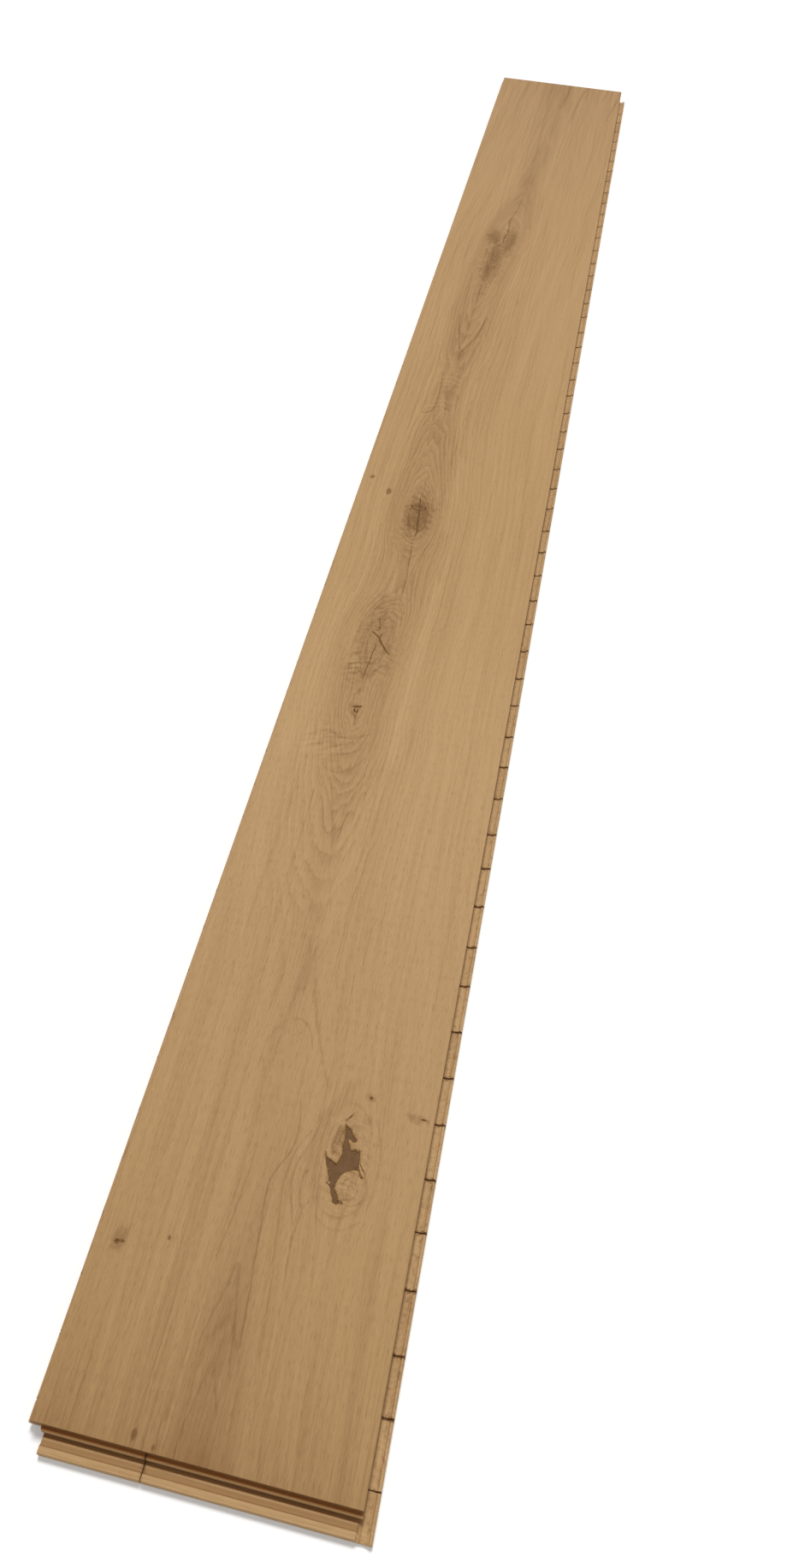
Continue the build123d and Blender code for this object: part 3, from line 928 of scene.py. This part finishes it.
for i, (band_width, band_length, strength) in enumerate(grain_bands):
    band_layer = plus(tree, beside, 50 * i)
    band = streaks(tree, radius, y, band_layer, band_width, band_length)
    light = plus(tree, light, swing(tree, band, strength))
for i, (band_width, band_length, strength) in enumerate(fibre_bands):
    band = streaks(tree, x, y, 30 + 4.0 * i, band_width, band_length)
    band_strength = fade(tree, y, *flecked_front, 0.78 * strength, strength)
    light = plus(tree, light, swing(tree, band, band_strength))
wave = streaks(tree, x, y, 0.0, *waves)
wavy = plus(tree, radius, swing(tree, wave, fade(tree, y, *waves_grow, 1.8, 4.5)))
near_rings = sums(tree, "EXPONENT", sums(tree, "DIVIDE", wavy, -25))
line_place = sums(tree, "DIVIDE", wavy, ring_line_gap)
crowding = fade(tree, y, *rings_crowd, -1, -11)
line_place = sums(tree, "MULTIPLY_ADD", near_rings, crowding, line_place)
line_drift = swing(tree, streaks(tree, radius, y, beside, *line_drifts), 2.2)
line_place = plus(tree, line_place, line_drift)
ring_lines = fade(tree, sums(tree, "PINGPONG", line_place, 0.5), 0.17, 0.0)
ring_steps = fade(tree, sums(tree, "FRACT", line_place), 1.0, 0.1, 0.035, -0.045)
ring_steps = times(tree, ring_steps, fade(tree, radius, *strong_rings, 0.3, 1))
ring_steps = times(tree, ring_steps, fade(tree, y, *figure_stop, 1, 0.4))
ring_steps = times(tree, ring_steps, fade(tree, y, *figure_start, 0.5, 1))
light = plus(tree, light, ring_steps)
broken = fade(tree, streaks(tree, x, y, 24.0, *line_breaks), 0.36, 0.62)
broken = sums(tree, "MAXIMUM", broken, fade(tree, y, *flecked_front, 0, 0.7))
ring_lines = times(tree, ring_lines, broken)
patchy = fade(tree, streaks(tree, radius, y, beside, *line_patches), 0.35, 0.65, 0.25, 1.5)
ring_lines = times(tree, ring_lines, patchy)
line_strength = fade(tree, radius, *strong_lines, 0.055, 0.10)
line_strength = times(tree, line_strength, fade(tree, y, *figure_stop, 1, 0.3))
line_strength = times(tree, line_strength, fade(tree, y, *figure_start, 0.4, 1))
line_strength = times(tree, line_strength, fade(tree, y, *lines_soften, 1, 0.5))
light = minus(tree, light, times(tree, ring_lines, line_strength))
pore_rows = fade(tree, sums(tree, "PINGPONG", line_place, 0.5), 0.26, 0.02, 0.4, 1)
pores = fade(tree, streaks(tree, x, y, 16.0, *fine_pores), 0.56, 0.7)
pores = times(tree, pores, pore_rows)
pore_strength = fade(tree, y, *flecked_front, 0.05, 0.035)
light = minus(tree, light, times(tree, pores, pore_strength))
long_lines = fade(tree, streaks(tree, x, y, 32.0, *long_streaks), 0.55, 0.68)
long_strength = fade(tree, y, *flecked_front, 0.04, 0.08)
long_strength = times(tree, long_strength, fade(tree, radius, *straight_lines))
light = minus(tree, light, times(tree, long_lines, long_strength))
gleam = fade(tree, streaks(tree, x, y, 28.0, *gleams), 0.6, 0.72)
gleam_strength = fade(tree, y, *flecked_front, 0.07, 0.03)
light = plus(tree, light, times(tree, gleam, gleam_strength))
curl_place = sums(tree, "MULTIPLY_ADD", sums(tree, "ABSOLUTE", off_heart), 0.4, y)
curl_lines = swing(tree, streaks(tree, curl_place, x, 0.0, *curly_ripples), 0.7)
light = plus(tree, light, times(tree, curl_lines, curl))
knot_place = times(tree, knot_turn, knot_ring_count)
knot_rings = swing(tree, streaks(tree, knot_place, x, y, *knot_rings_size), 0.5)
knot_rings = times(tree, knot_rings, fade(tree, knot_turn, 1.2, 0.6))
light = plus(tree, light, knot_rings)
light = minus(tree, light, times(tree, halo, mark_darkness))
light = minus(tree, light, times(tree, stain_and_shade, mark_darkness))
stops = [(i / 4, tone(*colour)) for i, colour in enumerate(face_tones)]
colour = ramp(tree, light, stops)
mottle = fade(tree, streaks(tree, x, y, 0.0, *mottles), 0.35, 0.65, 0.35, 0.95)
colour = mix(tree, times(tree, brown, mottle), colour, tone(*knot_colour))
colour = mix(tree, fade(tree, crack, 0.0, 0.8), colour, tone(*crack_colour))

# The sawn ends and sides: darker, most of all the end grain, with open pores. The end grain's dark
# colour is partly painted shade, matched to the front end that faces away from the lamp.
facing = add(tree, "SeparateXYZ", {0: add(tree, "NewGeometry")["True Normal"]})
sawn = fade(tree, sums(tree, "ABSOLUTE", facing["Z"]), 0.75, 0.6)
specks = streaks(tree, x, y, depth, *sawn_specks)
long_side = fade(tree, sums(tree, "ABSOLUTE", facing["X"]), 0.5, 0.8)
sawn_tone = mix(tree, long_side, tone(*end_grain_and_shade_colour), tone(*sawn_side_colour))
rubbed = fade(tree, streaks(tree, y, depth, x, *rubbed_spots), 0.3, 0.7, 0.7, 0.95)
colour = mix(tree, times(tree, sawn, rubbed), colour, sawn_tone)
specks = times(tree, sawn, fade(tree, specks, 0.5, 0.65, 0, 0.5))
colour = mix(tree, specks, colour, tone(*sawn_pore_colour))
brushed = streaks(tree, plain_x, plain_y, 8.0, *brush_marks)
open_pores = fade(tree, streaks(tree, plain_x, plain_y, 16.0, *open_pores_size), 0.6, 0.71)
height = minus(tree, brushed, times(tree, open_pores, 0.9))
rough = sums(tree, "MULTIPLY_ADD", pores, 0.2, 0.52)
finish_surface(tree, shader, colour, height, oak_relief, rough)

# Putty in the open knot: a dark, hard filler with a few pinholes
cloud_size = (4, 4)
pinhole_size = (0.45, 0.45)
putty_relief = 0.0002
putty, tree, shader = new_material("dark_knot_putty", 0.55)
x, y, depth = add(tree, "SeparateXYZ", {0: board_place(tree)})
cloud = streaks(tree, x, y, depth, *cloud_size)
pinholes = fade(tree, streaks(tree, x, y, depth, *pinhole_size), 0.66, 0.74)
colour = ramp(tree, cloud, [(0.3, tone(*filler_shade)), (0.7, tone(*filler_colour))])
colour = mix(tree, times(tree, pinholes, 0.6), colour, tone(*pinhole_colour))
height = minus(tree, cloud, pinholes)
finish_surface(tree, shader, colour, height, putty_relief)
oak_mesh.materials.append(oak_finish)
oak_mesh.materials.append(putty)
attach(oak, "root")
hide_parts("oak_face")

# Floor: a plain pale ground that the board lies on, made white to the camera by a little glow of
# its own, so that only the board's soft shadow shows on it.
floor_reach = 12
floor_grey = 0.82
floor_glow = 0.22


def watched_rays(tree):
    """1 for the rays that the camera sees, straight or by way of gloss or glass, 0 for others."""
    seen = add(tree, "LightPath")
    watched = plus(tree, seen["Is Camera Ray"], seen["Is Glossy Ray"])
    watched = plus(tree, watched, seen["Is Transmission Ray"])
    return sums(tree, "MINIMUM", watched, 1.0)


floor_mesh = bpy.data.meshes.new("floor")
corners = [(-floor_reach, -floor_reach, 0), (floor_reach, -floor_reach, 0)]
corners += [(floor_reach, floor_reach, 0), (-floor_reach, floor_reach, 0)]
floor_mesh.from_pydata(corners, [], [(0, 1, 2, 3)])
floor = bpy.data.objects.new("floor", floor_mesh)
bpy.context.scene.collection.objects.link(floor)
pale, tree, shader = new_material("pale_floor", 0.9)
shader.inputs["Base Color"].default_value = (floor_grey, floor_grey, floor_grey, 1)
shader.inputs["Emission Color"].default_value = (1, 1, 1, 1)
glow = times(tree, watched_rays(tree), floor_glow)
tree.links.new(glow, shader.inputs["Emission Strength"])
floor_mesh.materials.append(pale)

# Light: a wide soft lamp high behind the far end, and an even pale room round the board that fills
# the shadows. The room is bright to the camera and dim to the board.
lamp_strength = 2.33
lamp_softness = radians(16)
lamp_turn = (radians(-24), radians(-5), 0)
room_light = 0.32
lamp_data = bpy.data.lights.new("studio_lamp", "SUN")
lamp_data.energy = lamp_strength
lamp_data.angle = lamp_softness
lamp = bpy.data.objects.new("studio_lamp", lamp_data)
lamp.rotation_euler = lamp_turn
bpy.context.scene.collection.objects.link(lamp)
room = bpy.data.worlds.new("room")
room.use_nodes = True
bpy.context.scene.world = room
tree = room.node_tree
brightness = sums(tree, "MULTIPLY_ADD", watched_rays(tree), 1 - room_light, room_light)
background = tree.nodes["Background"]
background.inputs["Color"].default_value = (1, 1, 1, 1)
tree.links.new(brightness, background.inputs["Strength"])

# Camera: stands past the near end, a little to the right, and looks down along the board, as the
# photograph does. The frame is shifted a little, as a crop of the picture shifts it.
camera_place = (0.0881, -1.0269, 0.7753)
camera_turn = (radians(41.4), radians(-2.063), radians(12.296))
camera_lens = 26.586
frame_shift = (0.0136, -0.07)
camera_data = bpy.data.cameras.new("camera")
camera_data.lens = camera_lens
camera_data.shift_x, camera_data.shift_y = frame_shift
camera_data.clip_start = 0.02
camera = bpy.data.objects.new("camera", camera_data)
camera.location = camera_place
camera.rotation_euler = camera_turn
bpy.context.scene.collection.objects.link(camera)
bpy.context.scene.camera = camera
bpy.context.scene.view_settings.view_transform = "Standard"
